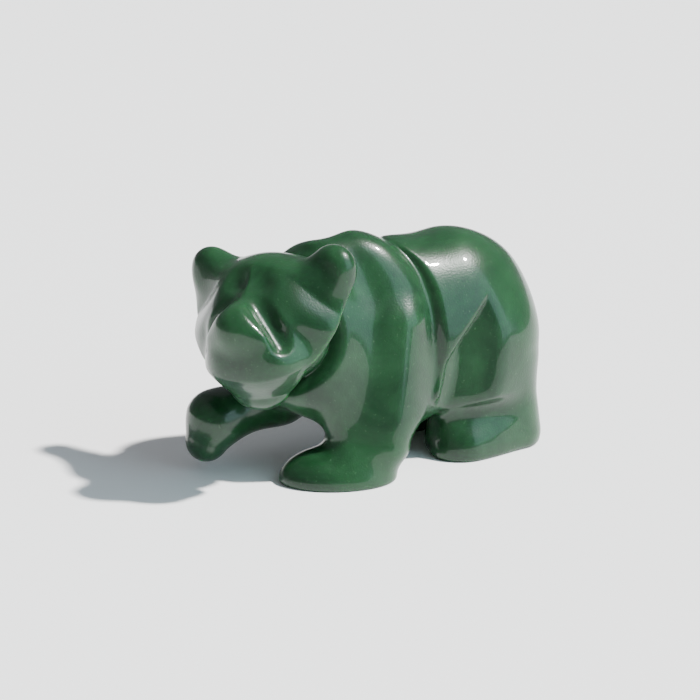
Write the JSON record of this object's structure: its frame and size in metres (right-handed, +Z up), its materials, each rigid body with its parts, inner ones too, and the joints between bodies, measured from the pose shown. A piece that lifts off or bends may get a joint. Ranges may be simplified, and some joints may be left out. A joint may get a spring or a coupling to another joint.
{
  "type": "bear figurine",
  "caption": "Carved green jade bear in one piece, walking with one forepaw raised and its head turned to the side; stands on three flat soles.",
  "frame": {"origin": "middle of the bounding box's ground plan, on the plane of the soles", "axes": "+Z up, +X towards the bear's left side, -Y the way it walks"},
  "size_m": [0.0352, 0.076, 0.0489],
  "materials": {
    "jade": "polished"
  },
  "bodies": {
    "root": {"jade_bear": "jade"}
  },
  "joints": []
}
